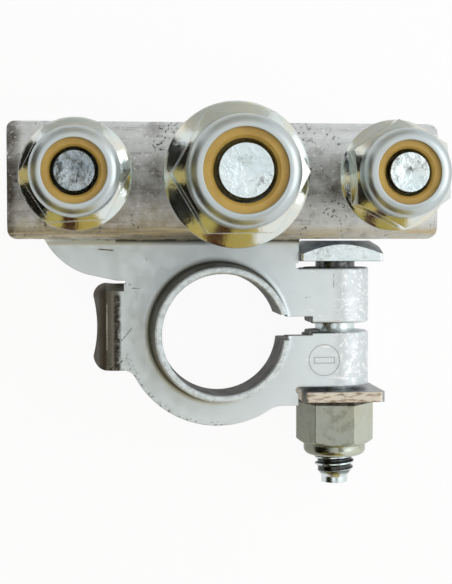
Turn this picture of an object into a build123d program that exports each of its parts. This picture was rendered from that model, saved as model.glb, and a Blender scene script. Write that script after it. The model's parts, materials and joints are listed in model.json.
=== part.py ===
# Battery terminal clamp: a stamped body with a split collar and a rail of three cable studs
import os
from math import cos, radians, sin, sqrt, tan

from build123d import *

# Sheet of the stamping and its bends
sheet = 2.0
riser_bend = 1.2
rail_round = 2.4
lip_bend = 0.8

# Collar that grips the battery post
bore_r = 8.55
collar_wall = 1.0
collar_taper = 0.4
collar_height = 7.0
collar_fillet = 1.0
collar_edge = 0.2
mouth_round = 0.8

# Plate around the collar
ring_width = 3.85
pad_inset = 2.0
pad_bottom_inset = 2.8
pad_root_round = 3.0
arm_reach = 10.3
arm_foot = 4.3
arm_rise = 0.93
arm_belly = 0.57

# Lip opposite the split, bent down
lip_offset = 0.9
lip_low = -5.6
lip_high = 7.0
lip_angle = 70.0
lip_leg = 2.3
lip_corner = 1.9
lip_hollow = 0.55
lip_slit = 0.45
lip_slit_depth = 1.1
lip_root_round = 1.6
lip_bevel = 1.1

# Raised rail
rail_length = 60.6
rail_width = 16.5
rail_setback = 0.35
rail_offset = 0.5
rail_top = 6.0
rail_back_foot = -2.0
rail_front_foot = 1.2
rail_corner = 1.2

# Split, ears and rolled eyes
split_y = 0.4
collar_slot_up = 2.4
collar_slot_down = 1.2
plate_slot_up = 1.7
plate_slot_down = 1.1
slot_past_ring = 0.1
ear_gap = 1.3
ear_width = 8.2
ear_round = 0.4
bolt_offset = 4.3
eye_play = 0.05
eye_end = 152.0
relief_r = 0.45
relief_out = 0.3

# Studs in the rail
stud_pitch = 20.6
stud_fit = 0.02
side_stud_r = 2.9
side_stud_chamfer = 0.42
side_head_x = 12.0
side_head_z = 2.6
centre_stud_r = 3.88
centre_stud_chamfer = 0.55
centre_head_x = 15.0
centre_head_z = 2.9
stud_head_play = 0.15
stud_dimple = 0.25

# Lock nuts: fits first, then one set of sizes for each thread
nut_lift = 14.0
thread_play = 0.05
ring_play = 0.03
stud_proud = 0.4
side_hex = 12.0
side_flange_r = 7.2
side_nut_height = 8.9
side_hex_top = 5.6
side_lip_r = 4.0
side_ring_r = 4.7
centre_hex = 15.0
centre_flange_r = 9.45
centre_nut_height = 11.3
centre_hex_top = 7.2
centre_lip_r = 5.25
centre_ring_r = 6.1
flange_rim = 1.0
flange_slope = 20.0
nut_lip = 0.5
ring_depth = 2.0
crown_share = 0.93
left_turn = 3.0
centre_turn = 1.0
right_turn = 34.0
clamp_turn = 10.0

# Clamp bolt with its square washer and lock nut
bolt_r = 2.95
head_square = 12.2
head_corner = 0.5
head_flat = 2.45
head_crown = 0.55
head_gap = 0.95
bolt_length = 33.4
bolt_taper = 1.5
bolt_tip_r = 1.95
bolt_tip = 0.9
washer_thick = 1.5
washer_turn_gap = 0.65
washer_reach = 6.5
washer_gap = 0.55
washer_corner = 0.8
washer_play = 0.1
clamp_nut_gap = 0.05
clamp_hex = 10.0
clamp_nut_height = 8.45
clamp_hex_top = 6.8
clamp_lip_r = 3.55
clamp_ring_r = 4.05

# Places that follow from the sizes above
rim_r = bore_r + collar_wall
collar_r = rim_r + collar_taper
ring_r = collar_r + ring_width
pad_x = ring_r - pad_inset
pad_bottom = pad_bottom_inset - ring_r
lip_line = -ring_r - lip_offset
lip_root = lip_line + sheet / 2
lip_bevel_start = lip_high - lip_bevel
arm_foot_x = lip_line - arm_foot
arm_left = lip_line - arm_reach
arm_tip_y = lip_high + lip_slit
slot_end = ring_r + slot_past_ring
rail_front = ring_r - rail_setback
rail_mid = rail_front + rail_width / 2
rail_back = rail_front + rail_width
rail_under = rail_top - sheet
bolt_x = ring_r + bolt_offset
eye_hole_r = bolt_r + eye_play
eye_r = eye_hole_r + sheet
bolt_z = -eye_r
ear_top = split_y + ear_gap / 2 + ear_width
ear_bottom = split_y - ear_gap / 2 - ear_width
head_seat = ear_top + head_gap
washer_left = pad_x + washer_turn_gap - bolt_x
washer_side = washer_reach - washer_left
washer_top = ear_bottom - washer_gap
clamp_nut_seat = washer_top - washer_thick - clamp_nut_gap
nut_base = rail_top + nut_lift


def span_box(x0, x1, y0, y1, z0, z1):
    return Pos((x0 + x1) / 2, (y0 + y1) / 2, (z0 + z1) / 2) * Box(x1 - x0, y1 - y0, z1 - z0)


def span_rectangle(x0, x1, y0, y1):
    return Pos((x0 + x1) / 2, (y0 + y1) / 2) * Rectangle(x1 - x0, y1 - y0)


# Outline of the arm and of the plate beside it, up to the back of the rail's front wall
def arm_plan():
    back = rail_front + sheet
    foot_y = arm_tip_y + arm_rise
    belly_x = (arm_left + arm_foot_x) / 2 - arm_belly
    belly_y = (rail_front + foot_y) / 2 - arm_belly
    return make_face([
        Line((0, lip_low), (0, 0)),
        Line((0, 0), (pad_x, 0)),
        Line((pad_x, 0), (pad_x, back)),
        Line((pad_x, back), (arm_left, back)),
        Line((arm_left, back), (arm_left, rail_front)),
        ThreePointArc((arm_left, rail_front), (belly_x, belly_y), (arm_foot_x, foot_y)),
        Line((arm_foot_x, foot_y), (lip_line, arm_tip_y)),
        Line((lip_line, arm_tip_y), (lip_line, lip_low)),
        Line((lip_line, lip_low), (0, lip_low)),
    ])


# Rounds the one corner of an outline that lies at a given point
def round_corner(outline, x, y, radius):
    return fillet(outline.vertices().sort_by_distance((x, y, 0))[0], radius)


# Flat blank of the plate, seen from above
def plate_blank():
    blank = arm_plan() + Circle(ring_r) + span_rectangle(0, pad_x, pad_bottom, 0)
    blank &= span_rectangle(2 * arm_left, ring_r, -ring_r, rail_front - riser_bend)
    slit_in = lip_line + lip_slit_depth
    slit = span_rectangle(lip_line - sheet, slit_in, lip_high, lip_high + lip_slit)
    slit += Pos(slit_in, lip_high + lip_slit / 2) * Circle(lip_slit / 2)
    slit += span_rectangle(lip_line - sheet, lip_root, lip_bevel_start, lip_high)
    blank = round_corner(blank, -sqrt(ring_r**2 - lip_low**2), lip_low, lip_root_round)
    blank = round_corner(blank, sqrt(ring_r**2 - pad_bottom**2), pad_bottom, pad_root_round)
    return blank - slit - Circle(bore_r + mouth_round)


# Drawn collar that narrows to its rim, with a rounded mouth below and a fillet to the plate
def collar():
    foot = collar_r + collar_fillet
    turn = sqrt(0.5)
    wall = [
        Line((bore_r + mouth_round, -sheet), (foot, -sheet)),
        Line((foot, -sheet), (foot, 0)),
        ThreePointArc(
            (foot, 0),
            (foot - collar_fillet * turn, collar_fillet * (1 - turn)),
            (collar_r, collar_fillet),
        ),
        Line((collar_r, collar_fillet), (rim_r, collar_height - collar_edge)),
        Line((rim_r, collar_height - collar_edge), (rim_r - collar_edge, collar_height)),
        Line((rim_r - collar_edge, collar_height), (bore_r + collar_edge, collar_height)),
        Line((bore_r + collar_edge, collar_height), (bore_r, collar_height - collar_edge)),
        Line((bore_r, collar_height - collar_edge), (bore_r, mouth_round - sheet)),
        ThreePointArc(
            (bore_r, mouth_round - sheet),
            (bore_r + mouth_round * (1 - turn), mouth_round * (1 - turn) - sheet),
            (bore_r + mouth_round, -sheet),
        ),
    ]
    return revolve(Plane.XZ * make_face(wall), Axis.Z)


# Section of the bent lip, with a layer left off its outer face
def lip_section(layer):
    outer = lip_bend + sheet
    skin = outer - layer
    half = radians(lip_angle / 2)
    full = radians(lip_angle)

    def on_bend(radius, angle):
        return (lip_line - radius * sin(angle), radius * cos(angle) - outer)

    def on_edge(radius):
        x, z = on_bend(radius, full)
        return (x - lip_leg * cos(full), z - lip_leg * sin(full))

    return Plane.XZ * make_face([
        Line((lip_root, -layer), (lip_line, -layer)),
        ThreePointArc((lip_line, -layer), on_bend(skin, half), on_bend(skin, full)),
        Line(on_bend(skin, full), on_edge(skin)),
        Line(on_edge(skin), on_edge(lip_bend)),
        Line(on_edge(lip_bend), on_bend(lip_bend, full)),
        ThreePointArc(on_bend(lip_bend, full), on_bend(lip_bend, half), (lip_line, -sheet)),
        Line((lip_line, -sheet), (lip_root, -sheet)),
        Line((lip_root, -sheet), (lip_root, -layer)),
    ])


# Short lip whose corners are rounded, whose free edge is hollowed and whose upper end is bevelled
def lip():
    whole = lip_section(0)
    bent = Pos(0, lip_low, 0) * extrude(whole, lip_bevel_start - lip_low, dir=(0, 1, 0))
    bent += loft([Pos(0, lip_bevel_start, 0) * whole, Pos(0, lip_high, 0) * lip_section(lip_bevel)], ruled=True)
    edge_x = bent.bounding_box().min.X
    plan = span_rectangle(edge_x, lip_root, lip_low, lip_high)
    plan = fillet(plan.vertices().group_by(Axis.X)[0], lip_corner)
    chord = (lip_high - lip_low) / 2 - lip_corner
    hollow_r = (chord**2 + lip_hollow**2) / (2 * lip_hollow)
    plan -= Pos(edge_x + lip_hollow - hollow_r, (lip_low + lip_high) / 2) * Circle(hollow_r)
    depth = lip_bend + lip_leg + 2 * sheet
    return bent & Pos(0, 0, -depth) * extrude(plan, 2 * depth)


# Inverted channel with rounded long edges
def rail():
    outer = span_rectangle(rail_front, rail_back, rail_back_foot, rail_top)
    outer = fillet(outer.vertices().group_by(Axis.Y)[-1], rail_round)
    inner = span_rectangle(rail_front + sheet, rail_back - sheet, rail_back_foot - sheet, rail_under)
    inner = fillet(inner.vertices().group_by(Axis.Y)[-1], rail_round - sheet)
    channel = Pos(rail_offset, 0, 0) * extrude(Plane.YZ * (outer - inner), rail_length / 2, both=True)
    plan = Pos(rail_offset, rail_mid) * RectangleRounded(rail_length, rail_width, rail_corner)
    tall = rail_top - rail_back_foot
    channel &= Pos(0, 0, rail_back_foot - tall) * extrude(plan, 3 * tall)
    end = rail_length
    low = rail_back_foot - sheet
    return channel - span_box(-end, end, rail_front - sheet, rail_mid, low, rail_front_foot)


# Bend that lifts the plate to the rail's front wall
def riser():
    back = rail_front + sheet
    start = rail_front - riser_bend - sheet
    top = max(rail_front_foot, riser_bend) + sheet / 2
    step = make_face(Polyline(
        [(start, -sheet), (back, -sheet), (back, top), (rail_front, top), (rail_front, 0), (start, 0)],
        close=True,
    ))
    outside = step.vertices().group_by(Axis.Y)[0].sort_by(Axis.X)[-1]
    step = fillet(outside, riser_bend + sheet)
    inside = step.vertices().filter_by_position(Axis.X, rail_front, rail_front).sort_by(Axis.Y)[0]
    step = fillet(inside, riser_bend)
    bend = Pos(arm_left, 0, 0) * extrude(Plane.YZ * step, pad_x - arm_left)
    return bend & extrude(arm_plan(), top + sheet, both=True)


# One ear, flat at the root and rolled under into an eye for the bolt, with its outer edges rounded
def ear(low):
    flat = span_box(collar_r, bolt_x, low, low + ear_width, -sheet, 0)
    away = 2 * eye_r
    turn = radians((90 + eye_end) / 2)
    end = radians(eye_end)
    opening = make_face(Polyline(
        [(0, 0), (0, away), (away * cos(turn), away * sin(turn)), (away * cos(end), away * sin(end))],
        close=True,
    ))
    roll = Circle(eye_r) - Circle(eye_hole_r) - opening
    eye = extrude(Plane.XZ * roll, ear_width, dir=(0, 1, 0))
    rolled = flat + Pos(bolt_x, low, bolt_z) * eye
    outside = rolled.edges().filter_by(GeomType.CIRCLE).group_by(SortBy.RADIUS)[-1]
    outside += rolled.edges().filter_by(Axis.X).group_by(Axis.Z)[-1]
    return fillet(outside, ear_round)


# Cut through the collar and the plate, and on between the ears
def split():
    tall = collar_height + sheet
    gap = ear_gap / 2
    cut = span_box(0, collar_r, split_y - collar_slot_down, split_y + collar_slot_up, -tall, tall)
    cut += span_box(0, slot_end, split_y - plate_slot_down, split_y + plate_slot_up, -tall, tall)
    return cut + span_box(0, bolt_x, split_y - gap, split_y + gap, -tall, tall)


def clamp_body():
    body = Pos(0, 0, -sheet) * extrude(plate_blank(), sheet)
    body += collar()
    body += lip()
    body += rail()
    body += riser()
    body += ear(split_y + ear_gap / 2)
    body += ear(ear_bottom)
    body -= split()
    for corner_y in (ear_top + relief_out, ear_bottom - relief_out):
        body -= Pos(pad_x, corner_y, 0) * Cylinder(relief_r, 4 * sheet)
    for place, radius in ((-stud_pitch, side_stud_r), (0, centre_stud_r), (stud_pitch, side_stud_r)):
        body -= Pos(rail_offset + place, rail_mid, rail_top) * Cylinder(radius + stud_fit, 4 * sheet)
    return body


# Stud with a chamfered, dished end and a head held between the rail's walls
def stud(radius, chamfer_size, head_x, head_z, end):
    face_r = radius - chamfer_size
    dish_r = 0.75 * face_r
    shank = make_face([
        Line((0, rail_under - head_z), (radius, rail_under - head_z)),
        Line((radius, rail_under - head_z), (radius, end - chamfer_size)),
        Line((radius, end - chamfer_size), (face_r, end)),
        Line((face_r, end), (dish_r, end)),
        Line((dish_r, end), (0, end - stud_dimple)),
        Line((0, end - stud_dimple), (0, rail_under - head_z)),
    ])
    half = rail_width / 2 - sheet - stud_head_play
    ease = rail_round - sheet
    low = rail_under - head_z
    block = make_face(Polyline(
        [(-half, low), (half, low), (half, rail_under - ease), (half - ease, rail_under),
         (ease - half, rail_under), (-half, rail_under - ease)],
        close=True,
    ))
    head = extrude(Plane.YZ * block, head_x / 2, both=True)
    return Pos(0, rail_mid, 0) * (revolve(Plane.XZ * shank, Axis.Z) + head)


# Lock nut standing on its bearing face, with a domed crown rolled over the ring's groove
def lock_nut(hexagon, height, hex_top, lip_r, ring_r, hole_r):
    corner_r = hexagon / sqrt(3)
    crown_r = crown_share * hexagon / 2
    dome = 0.85 * (crown_r - lip_r)
    turn = sqrt(0.5)
    shoulder = hex_top - (corner_r - crown_r) * tan(radians(30))
    form = make_face([
        Line((0, 0), (corner_r, 0)),
        Line((corner_r, 0), (corner_r, shoulder)),
        Line((corner_r, shoulder), (crown_r, hex_top)),
        Line((crown_r, hex_top), (crown_r, height - dome)),
        ThreePointArc(
            (crown_r, height - dome),
            (crown_r - dome * (1 - turn), height - dome * (1 - turn)),
            (crown_r - dome, height),
        ),
        Line((crown_r - dome, height), (0, height)),
        Line((0, height), (0, 0)),
    ])
    nut = extrude(RegularPolygon(corner_r, 6), height) & revolve(Plane.XZ * form, Axis.Z)
    groove = height - nut_lip - ring_depth
    nut -= Pos(0, 0, height / 2) * Cylinder(hole_r, 2 * height)
    nut -= Pos(0, 0, groove + ring_depth / 2) * Cylinder(ring_r, ring_depth)
    return nut - Pos(0, 0, height) * Cylinder(lip_r, 2 * nut_lip)


# Same nut with a coned flange under the hexagon
def flange_nut(hexagon, height, hex_top, lip_r, ring_r, hole_r, flange_r):
    inner = hexagon / 2 - flange_rim / 4
    rise = flange_rim + (flange_r - inner) * tan(radians(flange_slope))
    ease = flange_rim / 4
    form = make_face(Polyline(
        [(hole_r, 0), (flange_r - ease, 0), (flange_r, ease), (flange_r, flange_rim - ease),
         (flange_r - ease, flange_rim), (inner, rise), (hole_r, rise)],
        close=True,
    ))
    return lock_nut(hexagon, height, hex_top, lip_r, ring_r, hole_r) + revolve(Plane.XZ * form, Axis.Z)


# Nylon ring that lies in the nut's groove
def nylon_ring(height, ring_r, hole_r):
    low = height - nut_lip - ring_depth + ring_play
    high = height - nut_lip - ring_play
    ease = (ring_r - hole_r) / 6
    form = make_face(Polyline(
        [(hole_r, low), (ring_r - ring_play, low), (ring_r - ring_play, high), (hole_r + ease, high),
         (hole_r, high - ease)],
        close=True,
    ))
    return revolve(Plane.XZ * form, Axis.Z)


# Square-head bolt, with its head below zero and its thread rising from zero
def clamp_bolt():
    head_top = head_flat + head_crown
    face_r = head_square / 2 - head_crown / tan(radians(30))
    corner_r = head_square
    brow = head_top - (corner_r - face_r) * tan(radians(30))
    form = make_face(Polyline(
        [(0, 0), (corner_r, 0), (corner_r, -brow), (face_r, -head_top), (0, -head_top)],
        close=True,
    ))
    head = Pos(0, 0, -head_top) * extrude(RectangleRounded(head_square, head_square, head_corner), head_top)
    head &= revolve(Plane.XZ * form, Axis.Z)
    thread_end = bolt_length - bolt_taper - bolt_tip
    shank = make_face(Polyline(
        [(0, -head_flat / 2), (bolt_r, -head_flat / 2), (bolt_r, thread_end),
         (bolt_tip_r, thread_end + bolt_taper), (bolt_tip_r, bolt_length), (0, bolt_length)],
        close=True,
    ))
    return head + revolve(Plane.XZ * shank, Axis.Z)


# Square washer, set off its hole so that the plate's edge keeps it from turning
def square_washer():
    middle = (washer_left + washer_reach) / 2
    blank = Pos(middle, 0) * RectangleRounded(washer_side, washer_side, washer_corner)
    return extrude(blank - Circle(bolt_r + washer_play), washer_thick)


# Stands a piece made along Z on the bolt's line, pointing away from the rail
def on_bolt(piece, seat):
    return Pos(bolt_x, seat, bolt_z) * Rot(90, 0, 0) * piece


def build():
    side_hole = side_stud_r + thread_play
    centre_hole = centre_stud_r + thread_play
    clamp_hole = bolt_r + thread_play
    side_end = nut_base + side_nut_height - nut_lip + stud_proud
    centre_end = nut_base + centre_nut_height - nut_lip + stud_proud
    centre_ends = (centre_stud_r, centre_stud_chamfer, centre_head_x, centre_head_z, centre_end)
    side_sizes = (side_hex, side_nut_height, side_hex_top, side_lip_r, side_ring_r, side_hole)
    centre_sizes = (centre_hex, centre_nut_height, centre_hex_top, centre_lip_r, centre_ring_r, centre_hole)
    clamp_sizes = (clamp_hex, clamp_nut_height, clamp_hex_top, clamp_lip_r, clamp_ring_r, clamp_hole)
    side_stud = stud(side_stud_r, side_stud_chamfer, side_head_x, side_head_z, side_end)
    side_nut = flange_nut(*side_sizes, side_flange_r)
    side_ring = nylon_ring(side_nut_height, side_ring_r, side_hole)
    middle = Pos(rail_offset, 0, 0)
    centre_nut = flange_nut(*centre_sizes, centre_flange_r)
    left = middle * Pos(-stud_pitch, 0, 0)
    right = middle * Pos(stud_pitch, 0, 0)
    up = Pos(0, rail_mid, nut_base)
    return {
        "clamp_body": clamp_body(),
        "stud_left": left * side_stud,
        "stud_centre": middle * stud(*centre_ends),
        "stud_right": right * side_stud,
        "flange_nut_left": left * up * Rot(0, 0, left_turn) * side_nut,
        "flange_nut_centre": middle * up * Rot(0, 0, centre_turn) * centre_nut,
        "flange_nut_right": right * up * Rot(0, 0, right_turn) * side_nut,
        "nylon_ring_left": left * up * side_ring,
        "nylon_ring_centre": middle * up * nylon_ring(centre_nut_height, centre_ring_r, centre_hole),
        "nylon_ring_right": right * up * side_ring,
        "clamp_bolt": on_bolt(clamp_bolt(), head_seat),
        "square_washer": on_bolt(square_washer(), washer_top),
        "clamp_nut": on_bolt(Rot(0, 0, clamp_turn) * lock_nut(*clamp_sizes), clamp_nut_seat),
        "clamp_nut_ring": on_bolt(nylon_ring(clamp_nut_height, clamp_ring_r, clamp_hole), clamp_nut_seat),
    }


os.makedirs("parts", exist_ok=True)
for name, piece in build().items():
    export_step(piece, f"parts/{name}.step")
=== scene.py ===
"""Dresses the battery terminal clamp: plated finishes, cut threads, a polarity sign and a soft studio."""

import json
import logging
from dataclasses import dataclass, replace
from enum import Enum
from functools import cache, partial, reduce
from math import cos, radians, sin, tan, tau
from typing import Optional, Sequence, Union

import bmesh
import bpy
from mathutils import Euler, Matrix, Vector


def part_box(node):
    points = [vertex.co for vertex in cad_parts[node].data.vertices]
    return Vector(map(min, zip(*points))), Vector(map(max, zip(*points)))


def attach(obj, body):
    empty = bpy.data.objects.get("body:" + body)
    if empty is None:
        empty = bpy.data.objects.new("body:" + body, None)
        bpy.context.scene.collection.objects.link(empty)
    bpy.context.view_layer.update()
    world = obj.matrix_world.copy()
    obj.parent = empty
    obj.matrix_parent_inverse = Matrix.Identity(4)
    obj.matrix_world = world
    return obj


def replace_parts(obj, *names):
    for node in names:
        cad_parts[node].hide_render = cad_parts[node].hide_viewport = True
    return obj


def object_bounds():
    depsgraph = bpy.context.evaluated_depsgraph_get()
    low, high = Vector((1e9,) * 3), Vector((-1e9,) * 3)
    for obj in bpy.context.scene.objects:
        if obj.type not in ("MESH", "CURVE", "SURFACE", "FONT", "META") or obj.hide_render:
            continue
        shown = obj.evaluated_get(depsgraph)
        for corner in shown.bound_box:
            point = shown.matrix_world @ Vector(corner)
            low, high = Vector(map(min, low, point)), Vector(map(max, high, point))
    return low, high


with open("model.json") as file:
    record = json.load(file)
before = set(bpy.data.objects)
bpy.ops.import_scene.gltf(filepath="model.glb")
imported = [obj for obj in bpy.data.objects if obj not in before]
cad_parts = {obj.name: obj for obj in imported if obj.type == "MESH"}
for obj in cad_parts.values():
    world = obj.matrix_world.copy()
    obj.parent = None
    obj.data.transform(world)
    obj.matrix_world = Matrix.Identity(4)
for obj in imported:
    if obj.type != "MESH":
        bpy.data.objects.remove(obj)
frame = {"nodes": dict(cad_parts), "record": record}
cad_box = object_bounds()

LOG = logging.getLogger("terminal_clamp")
MM = 0.001
THREAD_SHADE_AND_GRIME = "thread_shade_and_grime"
CAD_NORMALS = "custom_normal"
SHARP_ANGLE = radians(28)
RIGHT_ANGLE = radians(90)
UP = Vector((0.0, 0.0, 1.0))

Colour = tuple[float, float, float, float]
Triple = tuple[float, float, float]
Node = bpy.types.Node
Tree = bpy.types.NodeTree
Socket = bpy.types.NodeSocket
Material = bpy.types.Material
Shape = bmesh.types.BMesh
Feed = Union[float, Sequence[float], Socket]
Inputs = dict[Union[int, str], Feed]


class Slot(Enum):
    """The record's material slots."""

    TIN = "tinned_brass"
    ZINC = "zinc_steel"


class Place(Enum):
    """Where a stud stands on the rail."""

    LEFT = "left"
    CENTRE = "centre"
    RIGHT = "right"


def tint(red: int, green: int, blue: int) -> Colour:
    """Turns a screen colour into a linear one.

    Args:
        red: Red level from 0 to 255.
        green: Green level from 0 to 255.
        blue: Blue level from 0 to 255.

    Returns:
        The linear colour with full alpha.
    """

    def linear(level: int) -> float:
        """Linear share of one screen level, by the sRGB curve."""
        share = level / 255
        return share / 12.92 if share <= 0.04045 else ((share + 0.055) / 1.055) ** 2.4

    return (linear(red), linear(green), linear(blue), 1.0)


def find_mount(name: str) -> dict:
    """The record's mount of a name."""
    return next(mount for mount in frame["record"]["mounts"] if mount["name"] == name)


def empty_tree(owner: Union[Material, bpy.types.World]) -> Tree:
    """Switches on the nodes of a material or a world and removes those it starts with.

    Args:
        owner: The material or the world.

    Returns:
        Its node tree.
    """
    owner.use_nodes = True
    owner.node_tree.nodes.clear()
    return owner.node_tree


def even_finish(name: str, **values: Feed) -> Material:
    """Makes a finish that is the same all over.

    Args:
        name: The material's name.
        values: The shader's inputs, named with _ for a blank.

    Returns:
        The material.
    """
    material = bpy.data.materials.new(name)
    material.use_nodes = True
    shader = material.node_tree.nodes["Principled BSDF"]
    for socket, value in values.items():
        shader.inputs[socket.replace("_", " ")].default_value = value
    return material


class Board:
    """Places nodes in one tree and wires them."""

    def __init__(self, tree: Tree) -> None:
        """Keeps the tree."""
        self.tree = tree

    def add(self, kind: str, inputs: Optional[Inputs] = None, **settings: object) -> Node:
        """Adds one node.

        Args:
            kind: The node's type name.
            inputs: What its sockets get, by their names or numbers.
            settings: Properties to set on it.

        Returns:
            The new node.
        """
        node = self.tree.nodes.new(kind)
        for name, value in settings.items():
            setattr(node, name, value)
        for socket, source in (inputs or {}).items():
            self.feed(node.inputs[socket], source)
        return node

    def feed(self, socket: Socket, source: Feed) -> None:
        """Links a socket to its source, or sets it where the source is a plain value.

        Args:
            socket: The input.
            source: Another node's output, a number or a colour.
        """
        if isinstance(source, Socket):
            self.tree.links.new(source, socket)
        else:
            socket.default_value = source

    def given(self) -> dict[str, Socket]:
        """What the board's group is given, by name."""
        return {socket.name: socket for socket in self.add("NodeGroupInput").outputs}

    def math(self, operation: str, first: Feed, second: Feed = 0.0) -> Socket:
        """Adds a Math node."""
        return self.add("ShaderNodeMath", {0: first, 1: second}, operation=operation).outputs[0]

    def times(self, *values: Feed) -> Socket:
        """Multiplies values. The product of masks is 1 where all of them are."""
        return reduce(partial(self.math, "MULTIPLY"), values)

    def most(self, *values: Feed) -> Socket:
        """Takes the highest of some values at each point."""
        return reduce(partial(self.math, "MAXIMUM"), values)

    def ramp(self, value: Feed, low: Feed, high: Feed) -> Socket:
        """Rises smoothly from 0 to 1 while the value goes from low to high, which may lie below low."""
        inputs = {"Value": value, "From Min": low, "From Max": high}
        return self.add("ShaderNodeMapRange", inputs, interpolation_type="SMOOTHSTEP").outputs["Result"]

    def span(self, share: Feed, low: Feed, high: Feed) -> Socket:
        """Turns a share from 0 to 1 into a value from low to high."""
        inputs = {"Value": share, "To Min": low, "To Max": high}
        return self.add("ShaderNodeMapRange", inputs).outputs["Result"]

    def band(self, value: Feed, middle: float, half: float, soft: float) -> Socket:
        """1 within half a width of the middle, fading over a soft width outside it."""
        off = self.math("ABSOLUTE", self.math("SUBTRACT", value, middle))
        return self.ramp(off, half + soft, half)

    def ragged(self, value: Feed, patches: Feed, by: float) -> Socket:
        """A value that patches push up by a length, so that a line across it is uneven."""
        return self.math("ADD", value, self.times(patches, by))

    def mix(self, factor: Feed, first: Feed, second: Feed) -> Socket:
        """Mixes two colours.

        Args:
            factor: The share of the second colour.
            first: The colour underneath.
            second: The colour on top.

        Returns:
            The colour's socket.
        """
        node = self.add("ShaderNodeMix", data_type="RGBA")
        sockets = {socket.identifier: socket for socket in node.inputs}
        self.feed(sockets["Factor_Float"], factor)
        self.feed(sockets["A_Color"], first)
        self.feed(sockets["B_Color"], second)
        return next(socket for socket in node.outputs if socket.identifier == "Result_Color")

    def noise(self, vector: Feed, scale: Feed, detail: float = 2.0, roughness: float = 0.5) -> Socket:
        """Adds a Noise Texture, with its scale in waves per metre."""
        inputs = {"Vector": vector, "Scale": scale, "Detail": detail, "Roughness": roughness}
        return self.add("ShaderNodeTexNoise", inputs).outputs[0]


class Effects:
    """Surface effects that several finishes share, each a node group that is built once."""

    cloud_ramp: tuple[float, float] = (0.3, 0.7)

    def __init__(self) -> None:
        """Builds soft patches, scattered specks and streaks along X."""
        self.clouds = self._group("soft_clouds", "Scale", detail=5.0, roughness=0.62)
        self.specks = self._group("dark_specks", "Scale", "Threshold", "Softness", detail=3.0, roughness=0.7)
        self.streaks = self._group("drawn_streaks", "Scale", "Stretch", "Threshold", "Softness", detail=3.0,
                                   roughness=0.6)

    def _group(self, name: str, *numbers: str, detail: float, roughness: float) -> Tree:
        """Makes a group that turns noise into a mask.

        Args:
            name: The group's name.
            numbers: Its number inputs. Stretch draws it out along X, and Threshold thins it.
            detail: Octaves of finer noise.
            roughness: How strong the finer noise is.

        Returns:
            The group.
        """
        tree = bpy.data.node_groups.new(name, "ShaderNodeTree")
        tree.interface.new_socket(name="Vector", in_out="INPUT", socket_type="NodeSocketVector")
        for number in numbers:
            tree.interface.new_socket(name=number, in_out="INPUT", socket_type="NodeSocketFloat")
        tree.interface.new_socket(name="Mask", in_out="OUTPUT", socket_type="NodeSocketFloat")
        board = Board(tree)
        given = board.given()
        vector = given["Vector"]
        if "Stretch" in given:
            flow = board.add("ShaderNodeCombineXYZ", {"X": given["Stretch"], "Y": 1.0, "Z": 1.0}).outputs[0]
            vector = board.add("ShaderNodeVectorMath", {0: vector, 1: flow}, operation="MULTIPLY").outputs[0]
        level = board.noise(vector, given["Scale"], detail, roughness)
        low, high = self.cloud_ramp
        if "Threshold" in given:
            low = given["Threshold"]
            high = board.math("ADD", low, given["Softness"])
        board.add("NodeGroupOutput", {"Mask": board.ramp(level, low, high)})
        return tree


@cache
def shared_effects() -> Effects:
    """The effects, built when they are first asked for."""
    return Effects()


class Surface(Board):
    """A new material with a Principled BSDF and rounded edges in its normal."""

    def __init__(self, name: str, edge: float) -> None:
        """Starts the material.

        Args:
            name: The material's name.
            edge: Radius that every sharp edge shows, in metres.
        """
        self.material = bpy.data.materials.new(name)
        super().__init__(empty_tree(self.material))
        self.shader = self.add("ShaderNodeBsdfPrincipled")
        self.add("ShaderNodeOutputMaterial", {"Surface": self.shader.outputs["BSDF"]})
        coordinates = self.add("ShaderNodeTexCoord").outputs
        self.vector = coordinates["Object"]
        self.normal = coordinates["Normal"]
        self.x, self.y, self.z = self.add("ShaderNodeSeparateXYZ", {0: self.vector}).outputs
        self.edge = edge

    def set(self, **values: Feed) -> None:
        """Feeds the shader's sockets, named with _ for a blank."""
        for name, value in values.items():
            self.feed(self.shader.inputs[name.replace("_", " ")], value)

    def effect(self, tree: Tree, **numbers: float) -> Socket:
        """Places a shared effect on the surface."""
        return self.add("ShaderNodeGroup", {"Vector": self.vector, **numbers}, node_tree=tree).outputs[0]

    def clouds(self, scale: float) -> Socket:
        """Soft patches from 0 to 1."""
        return self.effect(shared_effects().clouds, Scale=scale)

    def specks(self, scale: float, threshold: float, softness: float) -> Socket:
        """1 on scattered specks."""
        return self.effect(shared_effects().specks, Scale=scale, Threshold=threshold, Softness=softness)

    def streaks(self, scale: float, stretch: float, threshold: float, softness: float) -> Socket:
        """1 on streaks along X."""
        numbers = {"Scale": scale, "Stretch": stretch, "Threshold": threshold, "Softness": softness}
        return self.effect(shared_effects().streaks, **numbers)

    def facing(self, way: Sequence[float]) -> Socket:
        """1 where the surface faces a direction of its piece, -1 where it faces away."""
        node = self.add("ShaderNodeVectorMath", {0: self.normal, 1: way}, operation="DOT_PRODUCT")
        return node.outputs["Value"]

    def relief(self, height: Feed, depth: float) -> None:
        """Gives the surface its relief and its rounded edges.

        Args:
            height: Relief from 0 to 1.
            depth: What a height of 1 is worth, in metres.
        """
        rounded = self.add("ShaderNodeBevel", {"Radius": self.edge}, samples=4).outputs[0]
        bump = self.add("ShaderNodeBump", {"Distance": depth, "Height": height, "Normal": rounded})
        self.set(Normal=bump.outputs[0])


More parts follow.
